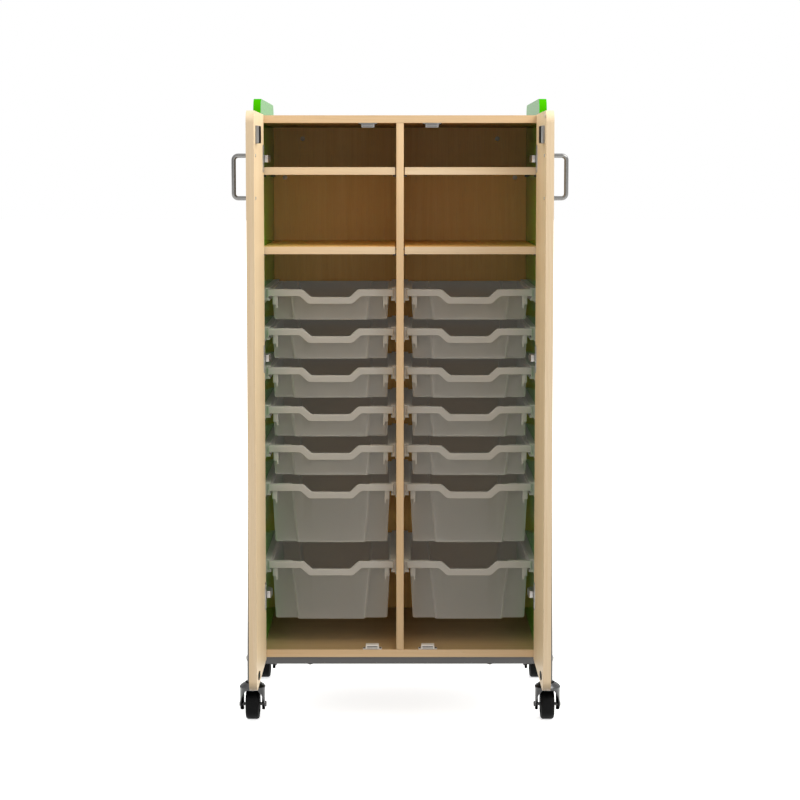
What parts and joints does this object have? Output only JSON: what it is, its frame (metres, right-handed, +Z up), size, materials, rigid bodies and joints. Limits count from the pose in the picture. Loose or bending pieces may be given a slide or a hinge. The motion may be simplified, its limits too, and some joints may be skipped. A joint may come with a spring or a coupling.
{
  "type": "classroom tray storage unit",
  "caption": "Tall two-bay storage cabinet on casters with hinged doors, adjustable shelves and pull-out plastic trays on runners, carried by bent tube legs.",
  "frame": {"origin": "on the floor, under the middle of the whole object with both doors open square", "axes": "+X to the right seen from the front, +Y to the rear, +Z up"},
  "size_m": [0.7942, 0.8792, 1.528],
  "materials": {
    "side_green": "smooth green laminate",
    "maple": "satin maple laminate",
    "back_board": "satin maple board",
    "tray_plastic": "frosted translucent",
    "leg_steel": "satin silver-grey paint",
    "caster_chrome": "bright plate",
    "wheel_rubber": "matt black",
    "hinge_steel": "nickel plate",
    "catch_plastic": "satin",
    "pull_steel": "satin nickel"
  },
  "bodies": {
    "cabinet": {"left_side_panel": "side_green", "right_side_panel": "side_green", "centre_divider": "maple", "top_panel": "maple", "bottom_panel": "maple", "back_panel": "back_board", "left_upper_shelf": "maple", "left_lower_shelf": "maple", "left_leg_frame": "leg_steel", "left_top_catch": "catch_plastic", "left_bottom_catch": "catch_plastic", "left_top_hinge_arm": "hinge_steel", "left_middle_hinge_arm": "hinge_steel", "left_bottom_hinge_arm": "hinge_steel", "right_upper_shelf": "maple", "right_lower_shelf": "maple", "right_leg_frame": "leg_steel", "right_top_catch": "catch_plastic", "right_bottom_catch": "catch_plastic", "right_top_hinge_arm": "hinge_steel", "right_middle_hinge_arm": "hinge_steel", "right_bottom_hinge_arm": "hinge_steel", "front_rail": "leg_steel", "rear_rail": "leg_steel"},
    "left_door_leaf": {"left_door": "maple", "left_pull": "pull_steel", "left_top_hinge_cup": "hinge_steel", "left_middle_hinge_cup": "hinge_steel", "left_bottom_hinge_cup": "hinge_steel", "left_strike_housing": "hinge_steel", "left_strike_plate": "hinge_steel"},
    "right_door_leaf": {"right_door": "maple", "right_pull": "pull_steel", "right_top_hinge_cup": "hinge_steel", "right_middle_hinge_cup": "hinge_steel", "right_bottom_hinge_cup": "hinge_steel", "right_strike_housing": "hinge_steel", "right_strike_plate": "hinge_steel"},
    "left_tray_1_body": {"left_tray_1": "tray_plastic"},
    "right_tray_1_body": {"right_tray_1": "tray_plastic"},
    "left_tray_2_body": {"left_tray_2": "tray_plastic"},
    "right_tray_2_body": {"right_tray_2": "tray_plastic"},
    "left_tray_3_body": {"left_tray_3": "tray_plastic"},
    "right_tray_3_body": {"right_tray_3": "tray_plastic"},
    "left_tray_4_body": {"left_tray_4": "tray_plastic"},
    "right_tray_4_body": {"right_tray_4": "tray_plastic"},
    "left_tray_5_body": {"left_tray_5": "tray_plastic"},
    "right_tray_5_body": {"right_tray_5": "tray_plastic"},
    "left_tray_6_body": {"left_tray_6": "tray_plastic"},
    "right_tray_6_body": {"right_tray_6": "tray_plastic"},
    "left_tray_7_body": {"left_tray_7": "tray_plastic"},
    "right_tray_7_body": {"right_tray_7": "tray_plastic"},
    "left_front_caster": {"left_front_caster_hood": "caster_chrome"},
    "left_front_wheel_body": {"left_front_wheel": "wheel_rubber"},
    "right_front_caster": {"right_front_caster_hood": "caster_chrome"},
    "right_front_wheel_body": {"right_front_wheel": "wheel_rubber"},
    "left_rear_caster": {"left_rear_caster_hood": "caster_chrome"},
    "left_rear_wheel_body": {"left_rear_wheel": "wheel_rubber"},
    "right_rear_caster": {"right_rear_caster_hood": "caster_chrome"},
    "right_rear_wheel_body": {"right_rear_wheel": "wheel_rubber"}
  },
  "joints": [
    {"name": "left_door_hinge", "type": "hinge", "parent": "cabinet", "child": "left_door_leaf", "pos_m": [-0.3358, -0.10535, 0.828], "axis": [0, 0, -1], "range_deg": [-90, 10]},
    {"name": "right_door_hinge", "type": "hinge", "parent": "cabinet", "child": "right_door_leaf", "pos_m": [0.3358, -0.10535, 0.828], "axis": [0, 0, 1], "range_deg": [-90, 10]},
    {"name": "left_tray_1_slide", "type": "slide", "parent": "cabinet", "child": "left_tray_1_body", "axis": [0, -1, 0], "range_m": [0, 0.36]},
    {"name": "right_tray_1_slide", "type": "slide", "parent": "cabinet", "child": "right_tray_1_body", "axis": [0, -1, 0], "range_m": [0, 0.36]},
    {"name": "left_tray_2_slide", "type": "slide", "parent": "cabinet", "child": "left_tray_2_body", "axis": [0, -1, 0], "range_m": [0, 0.36]},
    {"name": "right_tray_2_slide", "type": "slide", "parent": "cabinet", "child": "right_tray_2_body", "axis": [0, -1, 0], "range_m": [0, 0.36]},
    {"name": "left_tray_3_slide", "type": "slide", "parent": "cabinet", "child": "left_tray_3_body", "axis": [0, -1, 0], "range_m": [0, 0.36]},
    {"name": "right_tray_3_slide", "type": "slide", "parent": "cabinet", "child": "right_tray_3_body", "axis": [0, -1, 0], "range_m": [0, 0.36]},
    {"name": "left_tray_4_slide", "type": "slide", "parent": "cabinet", "child": "left_tray_4_body", "axis": [0, -1, 0], "range_m": [0, 0.36]},
    {"name": "right_tray_4_slide", "type": "slide", "parent": "cabinet", "child": "right_tray_4_body", "axis": [0, -1, 0], "range_m": [0, 0.36]},
    {"name": "left_tray_5_slide", "type": "slide", "parent": "cabinet", "child": "left_tray_5_body", "axis": [0, -1, 0], "range_m": [0, 0.36]},
    {"name": "right_tray_5_slide", "type": "slide", "parent": "cabinet", "child": "right_tray_5_body", "axis": [0, -1, 0], "range_m": [0, 0.36]},
    {"name": "left_tray_6_slide", "type": "slide", "parent": "cabinet", "child": "left_tray_6_body", "axis": [0, -1, 0], "range_m": [0, 0.36]},
    {"name": "right_tray_6_slide", "type": "slide", "parent": "cabinet", "child": "right_tray_6_body", "axis": [0, -1, 0], "range_m": [0, 0.36]},
    {"name": "left_tray_7_slide", "type": "slide", "parent": "cabinet", "child": "left_tray_7_body", "axis": [0, -1, 0], "range_m": [0, 0.36]},
    {"name": "right_tray_7_slide", "type": "slide", "parent": "cabinet", "child": "right_tray_7_body", "axis": [0, -1, 0], "range_m": [0, 0.36]},
    {"name": "left_front_caster_swivel", "type": "hinge", "parent": "cabinet", "child": "left_front_caster", "pos_m": [-0.3649, -0.05385, 0.097], "axis": [0, 0, 1], "continuous": true},
    {"name": "left_front_wheel_spin", "type": "hinge", "parent": "left_front_caster", "child": "left_front_wheel_body", "pos_m": [-0.3649, -0.03785, 0.0375], "axis": [1, 0, 0], "continuous": true},
    {"name": "right_front_caster_swivel", "type": "hinge", "parent": "cabinet", "child": "right_front_caster", "pos_m": [0.3649, -0.05385, 0.097], "axis": [0, 0, 1], "continuous": true},
    {"name": "right_front_wheel_spin", "type": "hinge", "parent": "right_front_caster", "child": "right_front_wheel_body", "pos_m": [0.3649, -0.03785, 0.0375], "axis": [1, 0, 0], "continuous": true},
    {"name": "left_rear_caster_swivel", "type": "hinge", "parent": "cabinet", "child": "left_rear_caster", "pos_m": [-0.3649, 0.38615, 0.097], "axis": [0, 0, 1], "continuous": true},
    {"name": "left_rear_wheel_spin", "type": "hinge", "parent": "left_rear_caster", "child": "left_rear_wheel_body", "pos_m": [-0.3649, 0.40215, 0.0375], "axis": [1, 0, 0], "continuous": true},
    {"name": "right_rear_caster_swivel", "type": "hinge", "parent": "cabinet", "child": "right_rear_caster", "pos_m": [0.3649, 0.38615, 0.097], "axis": [0, 0, 1], "continuous": true},
    {"name": "right_rear_wheel_spin", "type": "hinge", "parent": "right_rear_caster", "child": "right_rear_wheel_body", "pos_m": [0.3649, 0.40215, 0.0375], "axis": [1, 0, 0], "continuous": true}
  ]
}
